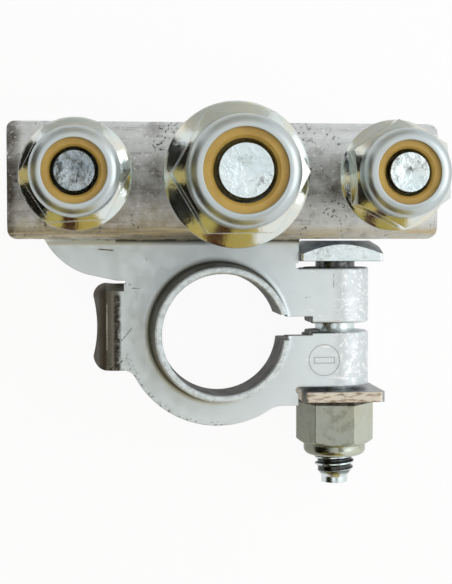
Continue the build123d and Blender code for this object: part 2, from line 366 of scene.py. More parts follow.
class TinFace(Surface):
    """The stamping's surface, with the lines, in metres, and the masks that its finish follows."""

    lip_low: float = -5.6 * MM
    lip_high: float = 7.0 * MM
    lip_step: float = 0.9 * MM
    # The bright line along the lip at lip_line is a painted highlight.
    lip_line: float = -16.14 * MM

    def __init__(self, edge: float) -> None:
        """Starts the material and reads the lines from the frame.

        Args:
            edge: Radius that every sharp edge shows, in metres.
        """
        super().__init__("tin_plate", edge)
        low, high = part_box("clamp_body")
        stud_low, stud_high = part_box("stud_centre")
        nylon_low, nylon_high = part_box("clamp_nut_ring")
        self.rail_left = low.x
        self.rail_front = stud_low.y + stud_high.y - high.y
        self.rail_middle = (self.rail_front + high.y) / 2
        self.ring_r = -low.y
        self.bore_r = find_mount("post_bore")["dims"]["r_mm"] * MM
        self.rim = high.z
        self.roll = (nylon_low.x + nylon_high.x) / 2
        self.lip = -self.ring_r - self.lip_step
        self.wide = self.clouds(scale=120.0)
        self.close = self.clouds(scale=560.0)
        self.on_rail = self.ramp(self.ragged(self.y, self.close, 0.5 * MM),
                                 self.rail_front, self.rail_front + 0.4 * MM)
        self.on_rim = self.ramp(self.z, self.rim - 0.5 * MM, self.rim - 0.2 * MM)
        flat = self.add("ShaderNodeVectorMath", {0: self.vector, 1: (1.0, 1.0, 0.0)}, operation="MULTIPLY")
        length = self.add("ShaderNodeVectorMath", {0: flat.outputs[0]}, operation="LENGTH")
        self.reach = length.outputs["Value"]


@dataclass(frozen=True)
class Stroke:
    """A scratch on the plate, in metres and degrees."""

    x: float
    y: float
    length: float
    width: float
    angle: float
    ragged_scale: float = 3200.0

    def mask(self, face: Surface) -> Socket:
        """1 along the scratch.

        Args:
            face: The scratched surface.

        Returns:
            The mask's socket.
        """
        place = {"Location": (self.x, self.y, 0.0), "Rotation": (0.0, 0.0, radians(self.angle))}
        turned = face.add("ShaderNodeMapping", {"Vector": face.vector, **place}, vector_type="TEXTURE")
        apart = face.add("ShaderNodeSeparateXYZ", {0: turned.outputs[0]}).outputs
        grain = face.noise(face.vector, self.ragged_scale)
        across = face.ragged(face.math("ABSOLUTE", apart["Y"]), grain, self.width)
        line = face.ramp(across, self.width, self.width * 0.5)
        return face.times(line, face.band(apart["X"], 0.0, self.length * 0.35, self.length * 0.15))


@dataclass(frozen=True)
class TinPlate:
    """Dull tin over brass: clean on the plate, painted shade and a warm painted reflection on steep drawn
    faces, brown and pitted on the rail with a band of painted nut shadow, and a painted highlight on the lip.
    """

    plate: Colour = tint(226, 235, 238)
    # The steep faces' colour and the post hole's colour are painted shade; the warm one is a painted
    # reflection on steep faces turned front-left.
    shaded_wall: Colour = tint(96, 96, 88)
    wall_warm_reflection: Colour = tint(136, 120, 92)
    bore_shade: Colour = tint(64, 64, 60)
    rail: Colour = tint(222, 225, 227)
    brown: Colour = tint(172, 163, 142)
    tan: Colour = tint(214, 204, 176)
    # This dark brown also paints the nuts' shadow in a band along the rail's middle, besides dirt patches and
    # drawn streaks.
    blotch_and_nut_shade: Colour = tint(74, 68, 55)
    dirt: Colour = tint(78, 71, 60)
    grime: Colour = tint(50, 45, 38)
    # This white serves for scuffs and strokes of wear, and for a painted highlight along the lip.
    wear_and_highlight_white: Colour = tint(250, 252, 252)
    rubbed: Colour = tint(206, 212, 215)
    lip: Colour = tint(132, 131, 122)
    # The lip's dark brown is painted shade on its outer side.
    lip_outer_shade: Colour = tint(82, 75, 64)
    strokes: tuple[Stroke, ...] = (
        Stroke(-16.24 * MM, 11.9 * MM, 2.5 * MM, 0.26 * MM, -5.0),
        Stroke(-13.35 * MM, -0.41 * MM, 3.0 * MM, 0.11 * MM, 51.0),
        Stroke(-11.98 * MM, 6.34 * MM, 1.3 * MM, 0.1 * MM, 0.0),
        Stroke(17.0 * MM, 7.3 * MM, 2.6 * MM, 0.08 * MM, 90.0),
    )
    # warm_share and front_left set the strength and direction of the warm painted reflection on steep faces.
    warm_share: float = 0.6
    patch_share: float = 0.4
    drawn_share: float = 0.22
    rubbed_share: float = 0.7
    scuff_share: float = 0.75
    streak_share: float = 0.9
    grain_share: float = 0.25
    crumb_share: float = 0.97
    edge_share: float = 0.8
    stroke_share: float = 0.85
    front_left: Triple = (-0.6, -0.8, 0.0)
    metallic: float = 0.7
    dull: tuple[float, float] = (0.42, 0.58)
    grain_scale: float = 2400.0
    edge: float = 0.22 * MM
    depth: float = 0.06 * MM

    def build(self) -> Material:
        """Makes the material.

        Returns:
            The material.
        """
        face = TinFace(self.edge)
        # Steep faces below the rim take painted shade, darker still down the post hole, and those turned
        # front-left a warm painted reflection.
        steep = face.ramp(face.math("ABSOLUTE", face.facing(UP)), 0.95, 0.6)
        walls = face.times(steep, face.ramp(face.x, face.roll + 0.4 * MM, face.roll),
                           face.ramp(face.x, face.lip - 0.4 * MM, face.lip),
                           face.ramp(face.z, face.rim - 0.1 * MM, face.rim - 0.35 * MM))
        warm = face.ramp(face.facing(self.front_left), 0.5, 1.0)
        in_bore = face.ramp(face.reach, face.bore_r + 0.4 * MM, face.bore_r + 0.2 * MM)
        colour = face.mix(face.times(warm, self.warm_share), self.shaded_wall, self.wall_warm_reflection)
        colour = face.mix(in_bore, colour, self.bore_shade)
        colour = face.mix(walls, self.plate, colour)
        colour = face.mix(face.on_rail, colour, self._rail(face))
        colour = self._bright_wear(face, self._lip(face, colour))
        dark = self._dark_marks(face)
        colour = face.mix(dark, colour, self.grime)
        grain = face.noise(face.vector, self.grain_scale, detail=4.0, roughness=0.65)
        rough_grain = face.times(grain, face.span(face.most(face.on_rim, face.on_rail), 0.25, 0.8))
        face.set(Base_Color=colour, Metallic=self.metallic, Roughness=face.span(face.close, *self.dull))
        face.relief(face.math("SUBTRACT", rough_grain, dark), self.depth)
        return face.material

    def _rail(self, face: TinFace) -> Socket:
        """Colour of the rail: grey above, brown towards its front, with a streaky tan edge and a band of
        painted nut shadow mixed with dirt along its middle.

        Args:
            face: The surface.

        Returns:
            The colour's socket.
        """
        low = face.ramp(face.ragged(face.y, face.wide, 3.0 * MM),
                        face.rail_middle + 2.0 * MM, face.rail_front + 3.0 * MM)
        used = face.span(face.ramp(face.x, 4.0 * MM, 14.0 * MM), 1.0, 0.3)
        colour = face.mix(face.times(low, face.span(face.close, 0.5, 1.0), used), self.rail, self.brown)
        patches = face.clouds(scale=190.0)
        # A band along the rail's middle, broken by patches, is painted shadow of the nuts above; scattered
        # patches add dirt.
        between = face.times(face.band(face.y, face.rail_middle, half=1.4 * MM, soft=3.2 * MM),
                             face.span(patches, 0.6, 1.0))
        dirty = face.most(between, face.times(face.ramp(patches, 0.7, 1.0), self.patch_share))
        colour = face.mix(face.times(dirty, face.span(face.close, 0.6, 1.0)), colour, self.blotch_and_nut_shade)
        at_end = face.ramp(face.ragged(face.x, patches, 1.0 * MM),
                           face.rail_left + 2.6 * MM, face.rail_left + 0.9 * MM)
        colour = face.mix(face.times(at_end, face.span(face.close, 0.6, 0.95)), colour, self.dirt)
        front = face.ramp(face.y, face.rail_front + 2.6 * MM, face.rail_front + 1.2 * MM)
        streaks = face.streaks(scale=1500.0, stretch=0.07, threshold=0.48, softness=0.12)
        colour = face.mix(face.times(front, streaks), colour, self.tan)
        drawn = face.streaks(scale=2100.0, stretch=0.05, threshold=0.56, softness=0.1)
        colour = face.mix(face.times(drawn, self.drawn_share), colour, self.blotch_and_nut_shade)
        sparks = face.specks(scale=1900.0, threshold=0.56, softness=0.14)
        upper = face.ramp(face.y, face.rail_middle - 1.0 * MM, face.rail_middle + 3.0 * MM)
        return face.mix(face.times(sparks, face.span(upper, 0.3, 0.7)), colour, self.wear_and_highlight_white)

    def _lip(self, face: TinFace, colour: Feed) -> Socket:
        """Colour with the grey lip, painted shade on its brown outer side and a painted highlight on the line
        between them.

        Args:
            face: The surface.
            colour: The colour underneath.

        Returns:
            The colour's socket.
        """
        below = face.ramp(face.y, face.lip_high + 0.3 * MM, face.lip_high)
        on_lip = face.times(face.ramp(face.x, face.lip + 0.7 * MM, face.lip - 0.1 * MM), below)
        colour = face.mix(on_lip, colour, self.lip)
        # The lip's outer side takes painted shade.
        outer = face.times(face.ramp(face.x, face.lip_line + 0.1 * MM, face.lip_line - 0.3 * MM), below)
        colour = face.mix(outer, colour, self.lip_outer_shade)
        # A thin line along the lip is a painted highlight.
        middle = (face.lip_low + face.lip_high) / 2
        line = face.times(face.band(face.x, face.lip_line, half=0.03 * MM, soft=0.1 * MM),
                          face.band(face.y, middle, half=3.0 * MM, soft=0.6 * MM))
        return face.mix(face.times(line, face.span(face.clouds(scale=900.0), 0.35, 1.0)), colour, self.wear_and_highlight_white)

    def _bright_wear(self, face: TinFace, colour: Feed) -> Socket:
        """Colour with white scuffs on the ears' rolls and a sparkling rim.

        Args:
            face: The surface.
            colour: The colour underneath.

        Returns:
            The colour's socket.
        """
        off_rail = face.math("SUBTRACT", 1.0, face.on_rail)
        on_roll = face.ramp(face.x, face.roll - 1.6 * MM, face.roll)
        colour = face.mix(face.times(on_roll, off_rail, self.rubbed_share), colour, self.rubbed)
        scuffs = face.specks(scale=1250.0, threshold=0.5, softness=0.12)
        colour = face.mix(face.times(scuffs, on_roll, off_rail, self.scuff_share), colour, self.wear_and_highlight_white)
        on_ear = face.ramp(face.x, face.ring_r - 3.0 * MM, face.ring_r)
        strokes = face.streaks(scale=1500.0, stretch=0.16, threshold=0.63, softness=0.05)
        colour = face.mix(face.times(strokes, off_rail, on_ear, self.streak_share), colour, self.wear_and_highlight_white)
        # The rim's grains borrow the grey of the steep faces' painted shade.
        grains = face.specks(scale=1500.0, threshold=0.42, softness=0.2)
        return face.mix(face.times(grains, face.on_rim, self.grain_share), colour, self.shaded_wall)

    def _dark_marks(self, face: TinFace) -> Socket:
        """1 on pits, crumbs in the lip's bend, scuffs at the plate's round edge and scratches.

        Args:
            face: The surface.

        Returns:
            The mask's socket.
        """
        fine = face.specks(scale=2300.0, threshold=0.56, softness=0.08)
        pits = face.times(fine, face.ramp(face.clouds(scale=210.0), 0.5, 0.95), face.on_rail)
        dots = face.specks(scale=640.0, threshold=0.7, softness=0.04)
        spots = face.times(dots, face.span(face.on_rail, 0.5, 0.9))
        bend = face.times(face.band(face.x, face.lip, half=0.2 * MM, soft=0.55 * MM),
                          face.ramp(face.y, face.lip_high - 1.0 * MM, face.lip_high - 2.0 * MM))
        crumbs = face.times(face.specks(scale=1500.0, threshold=0.3, softness=0.28), bend, self.crumb_share)
        at_edge = face.times(face.ramp(face.reach, face.ring_r - 0.9 * MM, face.ring_r - 0.1 * MM),
                             face.ramp(face.y, -2.0 * MM, -5.0 * MM), face.ramp(face.x, 4.0 * MM, 0.0))
        scratches = [face.times(stroke.mask(face), self.stroke_share) for stroke in self.strokes]
        return face.most(pits, spots, crumbs, face.times(fine, at_edge, self.edge_share), *scratches)


@dataclass(frozen=True)
class ZincPlate:
    """Zinc with a faint warm and cool cast, painted shade mixed with grime in any thread and at a seat,
    painted shade on faces turned one way, and a duller rolled crown.
    """

    name: str
    zinc: Colour = tint(222, 226, 224)
    warm: Colour = tint(232, 214, 160)
    cool: Colour = tint(198, 220, 226)
    grime: Colour = tint(46, 42, 36)
    warm_share: float = 0.4
    cool_share: float = 0.5
    smudge: float = 0.0
    # The side colour, its direction and its share paint shade onto the faces turned that way.
    side_shade: Colour = tint(38, 50, 54)
    shade_side: Triple = (0.0, 1.0, 0.0)
    side_shade_share: float = 0.0
    dull: tuple[float, float] = (0.08, 0.17)
    speck_threshold: float = 0.78
    # The thread share sets how dark the painted shade and grime are in a cut thread.
    thread_shade_and_grime_share: float = 0.93
    swell: float = 0.5
    crown_at: Optional[float] = None
    crown_fade: float = 0.3 * MM
    crown_share: float = 0.7
    crown_dull: float = 0.33
    crown: Colour = tint(180, 190, 194)
    # The span along Y and its fade place a band of painted shade mixed with dirt at a seat.
    seat_dirt_and_shade: Optional[tuple[float, float]] = None
    seat_dirt_and_shade_fade: float = 0.12 * MM
    edge: float = 0.2 * MM
    depth: float = 0.015 * MM

    def build(self) -> Material:
        """Makes the material.

        Returns:
            The material.
        """
        face = Surface(self.name, self.edge)
        wide = face.clouds(scale=150.0)
        close = face.clouds(scale=800.0)
        colour = face.mix(face.times(wide, self.warm_share), self.zinc, self.warm)
        colour = face.mix(face.times(face.clouds(scale=210.0), self.cool_share), colour, self.cool)
        dots = face.specks(scale=900.0, threshold=self.speck_threshold, softness=0.05)
        smudges = face.times(face.ramp(close, 0.4, 1.0), face.ramp(wide, 0.4, 0.9), self.smudge)
        # Corners deep in a cut thread take painted shade mixed with grime, darkest at the root.
        thread_shade_and_grime = face.add("ShaderNodeAttribute", attribute_name=THREAD_SHADE_AND_GRIME).outputs["Fac"]
        dark = face.most(dots, smudges, face.times(thread_shade_and_grime, self.thread_shade_and_grime_share))
        colour = face.mix(dark, colour, self.grime)
        # Faces turned the given way take painted shade.
        side_shaded = face.times(face.ramp(face.facing(self.shade_side), 0.4, 0.75),
                             face.span(close, 0.9, 1.0), self.side_shade_share)
        colour = face.mix(side_shaded, colour, self.side_shade)
        rough = face.span(close, *self.dull)
        if self.crown_at is not None:
            on_crown = face.ramp(face.z, self.crown_at - self.crown_fade, self.crown_at)
            rough = face.most(rough, face.times(on_crown, self.crown_dull))
            colour = face.mix(face.times(on_crown, self.crown_share), colour, self.crown)
        # A band at a seat takes painted shade mixed with dirt.
        if self.seat_dirt_and_shade is not None:
            low, high = self.seat_dirt_and_shade
            seat_dirt_and_shade_mask = face.band(face.y, (low + high) / 2, (high - low) / 2, self.seat_dirt_and_shade_fade)
            colour = face.mix(face.times(seat_dirt_and_shade_mask, face.span(close, 0.8, 1.0)), colour, self.grime)
        face.set(Base_Color=colour, Metallic=1.0, Roughness=rough)
        face.relief(face.math("SUBTRACT", face.times(close, self.swell), dots), self.depth)
        return face.material


@dataclass(frozen=True)
class WornWasher:
    """Grey zinc on the washer's faces, tan with brown streaks on its sheared edges."""

    grey: Colour = tint(166, 167, 168)
    tan: Colour = tint(222, 214, 198)
    brown: Colour = tint(138, 114, 90)
    streak_share: float = 0.85
    swell: float = 0.4
    metallic: float = 0.8
    dull: tuple[float, float] = (0.36, 0.52)
    rim: float = 0.08 * MM
    edge: float = 0.2 * MM
    depth: float = 0.04 * MM

    def build(self) -> Material:
        """Makes the material.

        Returns:
            The material.
        """
        face = Surface("worn_washer", self.edge)
        low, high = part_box("square_washer")
        centre = (low + high) / 2
        half = (high - low) / 2
        aside = face.band(face.x, centre.x, half.x - self.rim, self.rim / 2)
        above = face.band(face.z, centre.z, half.z - self.rim, self.rim / 2)
        sheared = face.math("SUBTRACT", 1.0, face.times(aside, above))
        close = face.clouds(scale=700.0)
        streaks = face.streaks(scale=2100.0, stretch=0.3, threshold=0.46, softness=0.2)
        edge_colour = face.mix(face.times(streaks, self.streak_share), self.tan, self.brown)
        colour = face.mix(sheared, self.grey, edge_colour)
        face.set(Base_Color=colour, Metallic=self.metallic, Roughness=face.span(close, *self.dull))
        face.relief(face.math("SUBTRACT", face.times(close, self.swell), streaks), self.depth)
        return face.material


@dataclass(frozen=True)
class AmberNylon:
    """Amber nylon, a little waxy, with deeper patches."""

    amber: Colour = tint(198, 164, 82)
    deep: Colour = tint(164, 128, 56)
    deep_share: float = 0.6
    dull: tuple[float, float] = (0.38, 0.52)
    wax: float = 0.1
    wax_depth: float = 0.4 * MM
    edge: float = 0.15 * MM
    depth: float = 0.015 * MM

    def build(self) -> Material:
        """Makes the material.

        Returns:
            The material.
        """
        face = Surface("amber_nylon", self.edge)
        colour = face.mix(face.times(face.clouds(scale=240.0), self.deep_share), self.amber, self.deep)
        close = face.clouds(scale=1400.0)
        face.set(Base_Color=colour, Roughness=face.span(close, *self.dull), Subsurface_Weight=self.wax,
                 Subsurface_Scale=self.wax_depth)
        face.relief(close, self.depth)
        return face.material


def dress(node: str, material: Material) -> None:
    """Gives a CAD node its finish.

    Args:
        node: The node's name.
        material: The finish.
    """
    for place in frame["nodes"][node].material_slots:
        place.material = material
    LOG.info("dressed %s in %s", node, material.name)


def place_object(name: str, data: bpy.types.ID) -> bpy.types.Object:
    """Puts a new object into the scene.

    Args:
        name: The object's name.
        data: Its mesh, lamp or camera.

    Returns:
        The object.
    """
    thing = bpy.data.objects.new(name, data)
    bpy.context.scene.collection.objects.link(thing)
    return thing


def place_shape(name: str, shape: Shape, material: Material) -> bpy.types.Object:
    """Puts a shape into the scene.

    Args:
        name: The object's name.
        shape: Its shape, which is freed.
        material: Its finish.

    Returns:
        The object.
    """
    mesh = bpy.data.meshes.new(name)
    shape.to_mesh(mesh)
    shape.free()
    mesh.materials.append(material)
    return place_object(name, mesh)


def make_piece(name: str, shape: Shape, material: Material, body: str) -> bpy.types.Object:
    """Makes a finished piece that moves with a body.

    Args:
        name: The piece's name.
        shape: Its shape, which is freed.
        material: Its finish.
        body: The body that it rides on.

    Returns:
        The new object.
    """
    piece = place_shape(name, shape, material)
    mesh = piece.data
    if CAD_NORMALS in mesh.attributes:
        mesh.attributes.remove(mesh.attributes[CAD_NORMALS])
    mesh.polygons.foreach_set("use_smooth", [True] * len(mesh.polygons))
    mesh.set_sharp_from_angle(angle=SHARP_ANGLE)
    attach(piece, body)
    LOG.info("made %s with %d faces", name, len(mesh.polygons))
    return piece


class ThreadTree:
    """Geometry Nodes tree of a ridge wound up the Z axis, run out at both ends."""

    numbers: tuple[str, ...] = (
        "Foot Radius", "Height", "Foot Width", "Crest Width", "Length", "Turns", "Run In", "Run Out")
    least_share: float = 0.02

    def __init__(self) -> None:
        """Builds the tree and keeps the identifiers of its inputs."""
        self.tree = bpy.data.node_groups.new("thread_ridge", "GeometryNodeTree")
        face = self.tree.interface
        kinds = {"Geometry": "Geometry", **dict.fromkeys(self.numbers, "Float")}
        kinds.update(Steps="Int", Finish="Material")
        self.inputs: dict[str, str] = {}
        for name, kind in kinds.items():
            socket = face.new_socket(name=name, in_out="INPUT", socket_type=f"NodeSocket{kind}")
            self.inputs[name] = socket.identifier
        face.new_socket(name="Geometry", in_out="OUTPUT", socket_type="NodeSocketGeometry")
        self._wire(Board(self.tree))

    def _wire(self, board: Board) -> None:
        """Winds the path, sweeps the ridge along it and gives it its finish.

        Args:
            board: The tree's board.
        """
        given = board.given()
        path = board.add("GeometryNodeCurveSpiral", {
            "Resolution": given["Steps"], "Rotations": given["Turns"], "Start Radius": given["Foot Radius"],
            "End Radius": given["Foot Radius"], "Height": given["Length"], "Reverse": True})
        upright = board.add("GeometryNodeSetCurveNormal", {"Curve": path.outputs[0]}, mode="Z_UP")
        section = board.add("GeometryNodeCurvePrimitiveQuadrilateral", mode="TRAPEZOID", inputs={
            "Height": given["Height"], "Bottom Width": given["Foot Width"], "Top Width": given["Crest Width"],
            "Offset": 0.0})
        shift = board.add("ShaderNodeCombineXYZ", {"X": board.times(given["Height"], 0.5)})
        outward = board.add("GeometryNodeTransform", {
            "Geometry": section.outputs[0], "Rotation": Euler((0.0, 0.0, -RIGHT_ANGLE)),
            "Translation": shift.outputs[0]})
        along = board.add("GeometryNodeSplineParameter").outputs["Factor"]
        rise = board.ramp(along, 0.0, given["Run In"])
        fall = board.ramp(along, 1.0, board.math("SUBTRACT", 1.0, given["Run Out"]))
        sweep = board.add("GeometryNodeCurveToMesh", {
            "Curve": upright.outputs[0], "Profile Curve": outward.outputs[0],
            "Scale": board.most(board.times(rise, fall), self.least_share), "Fill Caps": True})
        whole = board.add("GeometryNodeRealizeInstances", {"Geometry": sweep.outputs[0]}).outputs[0]
        finish = board.add("GeometryNodeSetMaterial", {"Geometry": whole, "Material": given["Finish"]})
        board.add("NodeGroupOutput", {"Geometry": finish.outputs[0]})

    def ridge(self, **values: Union[float, int, Material]) -> bpy.types.Mesh:
        """Makes one ridge as a plain mesh.

        Args:
            values: The tree's inputs, named with _ for a blank.

        Returns:
            The mesh, standing on the origin.
        """
        holder = place_object("thread_holder", bpy.data.meshes.new("thread_holder"))
        winding = holder.modifiers.new("winding", "NODES")
        winding.node_group = self.tree
        for name, value in values.items():
            winding[self.inputs[name.replace("_", " ")]] = value
        ready = holder.evaluated_get(bpy.context.evaluated_depsgraph_get())
        mesh = bpy.data.meshes.new_from_object(ready)
        holder.modifiers.remove(winding)
        bpy.data.objects.remove(holder)
        return mesh


@cache
def thread_tree() -> ThreadTree:
    """The tree, built when it is first asked for."""
    return ThreadTree()


def shank_r(node: str, seat: Vector, axis: Vector) -> float:
    """Measures a round shank.

    Args:
        node: The CAD node.
        seat: A point on the shank's axis.
        axis: The shank's direction from there.

    Returns:
        Half the width across X of what lies beyond the seat.
    """
    corners = [corner.co for corner in frame["nodes"][node].data.vertices]
    across = [place.x for place in corners if (place - seat).dot(axis) > 0]
    return (max(across) - min(across)) / 2


@dataclass(frozen=True)
class Thread:
    """A cut thread on a round shank, in metres, with its places along the axis from the seat."""

    pitch: float
    crest_r: float
    seat: Vector
    axis: Vector
    start: float
    end: float
    run_in: float
    run_out: float
    depth_share: float = 0.45
    foot_share: float = 0.84
    crest_share: float = 0.2
    sink: float = 0.06 * MM
    steps: int = 36
    weld: float = 0.001 * MM
    touch: float = 0.0001 * MM
    end_facing: float = 0.95

    @property
    def root_r(self) -> float:
        """Radius at the bottom of the thread."""
        return self.crest_r - self.depth_share * self.pitch

    def cut(self, node: str, body: str, material: Material) -> None:
        """Replaces a plain CAD shank by a copy with the thread cut into it.

        Args:
            node: The CAD node.
            body: The body that it rides on.
            material: The finish.
        """
        shape = bmesh.new()
        shape.from_mesh(frame["nodes"][node].data)
        bmesh.ops.remove_doubles(shape, verts=shape.verts[:], dist=self.weld)
        self._narrow(shape)
        length = self.end - self.start
        ridge = thread_tree().ridge(
            Foot_Radius=self.root_r - self.sink, Height=self.crest_r - self.root_r + self.sink,
            Foot_Width=self.foot_share * self.pitch, Crest_Width=self.crest_share * self.pitch,
            Length=length, Turns=length / self.pitch, Run_In=self.run_in / length,
            Run_Out=self.run_out / length, Steps=self.steps, Finish=material)
        turn = UP.rotation_difference(self.axis).to_matrix().to_4x4()
        ridge.transform(Matrix.Translation(self.seat + self.axis * self.start) @ turn)
        shape.from_mesh(ridge)
        bpy.data.meshes.remove(ridge)
        self._mark_thread_shade_and_grime(shape)
        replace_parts(make_piece(f"{node}_threaded", shape, material, body), node)

    def _narrow(self, shape: Shape) -> None:
        """Turns the shank down to the bottom of the thread.

        Args:
            shape: The plain shape.
        """
        for station in (self.start, self.start + self.run_in, self.end):
            parts = shape.verts[:] + shape.edges[:] + shape.faces[:]
            place = self.seat + self.axis * station
            bmesh.ops.bisect_plane(shape, geom=parts, dist=self.touch, plane_co=place, plane_no=self.axis)
        for corner in shape.verts:
            along = (corner.co - self.seat).dot(self.axis)
            centre = self.seat + self.axis * along
            reach = (corner.co - centre).length
            if along > self.start + self.run_in / 2 and reach > self.root_r:
                corner.co = centre + (corner.co - centre) * (self.root_r / reach)

    def _mark_thread_shade_and_grime(self, shape: Shape) -> None:
        """Notes on each face corner how deep in the thread it lies, for the painted shade and grime there.

        Args:
            shape: The threaded shape.
        """
        depth = shape.loops.layers.float.new(THREAD_SHADE_AND_GRIME)
        for side in shape.faces:
            middle = (side.calc_center_median() - self.seat).dot(self.axis)
            if not self.start < middle < self.end or abs(side.normal.dot(self.axis)) > self.end_facing:
                continue
            for corner in side.loops:
                out = corner.vert.co - self.seat
                reach = (out - self.axis * out.dot(self.axis)).length
                share = (reach - self.root_r) / (self.crest_r - self.root_r)
                corner[depth] = 1.0 - min(abs(share), 1.0)


@dataclass
class ClampBody:
    """The stamping with the sign that is pressed into its lower ear, in metres."""

    sign_x: float = 15.66 * MM
    sign_y: float = -4.36 * MM
    sign_r: float = 2.28 * MM
    bar_length: float = 3.0 * MM
    bar_width: float = 0.85 * MM
    line: float = 0.2 * MM
    rise: float = 0.04 * MM
    sink: float = 0.05 * MM
    steps: int = 72
    line_tone: Colour = tint(190, 194, 194)
    line_metallic: float = 0.5
    line_dull: float = 0.6

    def build(self) -> None:
        """Dresses the stamping and adds the sign."""
        dress("clamp_body", TinPlate().build())
        sign = bmesh.new()
        turns = [tau * step / self.steps for step in range(self.steps)]
        self._line(sign, [(self.sign_r * cos(turn), self.sign_r * sin(turn)) for turn in turns],
                   [(cos(turn), sin(turn)) for turn in turns])
        corners = [(-1, -1), (1, -1), (1, 1), (-1, 1)]
        self._line(sign, [(x * self.bar_length / 2, y * self.bar_width / 2) for x, y in corners], corners)
        bmesh.ops.recalc_face_normals(sign, faces=sign.faces[:])
        finish = even_finish("sign_line", Base_Color=self.line_tone, Metallic=self.line_metallic,
                             Roughness=self.line_dull)
        make_piece("polarity_sign", sign, finish, "body")

    def _line(self, sign: Shape, path: Sequence[tuple[float, float]],
              outward: Sequence[tuple[float, float]]) -> None:
        """Adds a low ridge along a closed path.

        Args:
            sign: The sign's shape.
            path: The path's points, from the sign's middle.
            outward: The way to the ridge's outer side at each point.
        """
        half = self.line / 2
        section = [(-half, -self.sink), (-half / 2, self.rise), (half / 2, self.rise), (half, -self.sink)]
        rows = []
        for (x, y), (out_x, out_y) in zip(path, outward):
            places = [(self.sign_x + x + across * out_x, self.sign_y + y + across * out_y, height)
                      for across, height in section]
            rows.append([sign.verts.new(place) for place in places])
        for row, following in zip(rows, rows[1:] + rows[:1]):
            for side in range(len(row)):
                ahead = (side + 1) % len(row)
                sign.faces.new((row[side], following[side], following[ahead], row[ahead]))


@dataclass
class StudWithNut:
    """One stud of the rail with its flange nut and nylon ring, in metres."""

    place: Place
    pitch: float
    start: float = 0.25 * MM
    run_in: float = 0.8 * MM
    end_gap: float = 0.9 * MM
    run_out: float = 1.2 * MM
    hex_share: float = 0.64

    def build(self, finish: Material, nylon: Material) -> None:
        """Cuts the stud's thread and dresses the nut and the ring.

        Args:
            finish: The stud's finish.
            nylon: The ring's finish.
        """
        stud = f"stud_{self.place.value}"
        low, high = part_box(stud)
        rail_top = find_mount(f"lug_seat_{self.place.value}")["pos_m"][2]
        seat = Vector(((low.x + high.x) / 2, (low.y + high.y) / 2, rail_top))
        end = high.z - rail_top - self.end_gap
        thread = Thread(self.pitch, shank_r(stud, seat, UP), seat, UP, self.start, end, self.run_in,
                        self.run_out)
        thread.cut(stud, "body", finish)
        nut = f"flange_nut_{self.place.value}"
        foot, top = (corner.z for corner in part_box(nut))
        dress(nut, ZincPlate(f"{nut}_zinc", crown_at=foot + self.hex_share * (top - foot)).build())
        dress(f"nylon_ring_{self.place.value}", nylon)


@dataclass
class ClampScrew:
    """The square-head bolt with its washer, its lock nut and the nut's ring, in metres."""

    pitch: float = 1.0 * MM
    run_in: float = 1.5 * MM
    run_out: float = 1.3 * MM
    end_gap: float = 1.3 * MM
    axis: Triple = (0.0, -1.0, 0.0)
    head_height: float = 3.0 * MM
    neck: float = 0.95 * MM
    nut_foot: float = 0.55 * MM
    # The bolt's head top and the nut's left facets take painted shade.
    bolt_finish: ZincPlate = ZincPlate(
        "bolt_zinc", zinc=tint(230, 240, 242), warm_share=0.1, smudge=0.4, side_shade_share=1.0, dull=(0.12, 0.27),
        edge=0.08 * MM, depth=0.05 * MM)
    nut_finish: ZincPlate = ZincPlate(
        "dull_nut_zinc", zinc=tint(200, 203, 189), warm=tint(190, 188, 160), cool=tint(196, 208, 202),
        warm_share=0.7, smudge=0.3, side_shade=tint(104, 106, 96), shade_side=(-0.87, 0.0, 0.49), side_shade_share=0.75,
        dull=(0.16, 0.28), speck_threshold=0.68, edge=0.3 * MM)

    def build(self, nylon: Material) -> None:
        """Cuts the bolt's thread and dresses what is on it.

        Args:
            nylon: The ring's finish.
        """
        low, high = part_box("clamp_bolt")
        ring_low, ring_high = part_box("clamp_nut_ring")
        washer_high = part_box("square_washer")[1].y
        seat = Vector(((ring_low.x + ring_high.x) / 2, washer_high, (ring_low.z + ring_high.z) / 2))
        axis = Vector(self.axis)
        end = washer_high - low.y - self.end_gap
        thread = Thread(self.pitch, shank_r("clamp_bolt", seat, axis), seat, axis, 0.0, end, self.run_in,
                        self.run_out)
        head_seat = high.y - self.head_height
        # The neck under the head takes painted shade mixed with dirt.
        bolt = replace(self.bolt_finish, seat_dirt_and_shade=(head_seat - self.neck, head_seat))
        thread.cut("clamp_bolt", "bolt", bolt.build())
        dress("square_washer", WornWasher().build())
        nut_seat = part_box("clamp_nut")[1].y
        # The nut's foot under the washer takes painted shade.
        nut = replace(self.nut_finish, seat_dirt_and_shade=(nut_seat - self.nut_foot, nut_seat))
        dress("clamp_nut", nut.build())
        dress("clamp_nut_ring", nylon)


@dataclass(frozen=True)
class Card:
    """A matt card that the metal mirrors, between two bearings in degrees from +X."""

    name: str
    colour: Colour
    start: float
    end: float


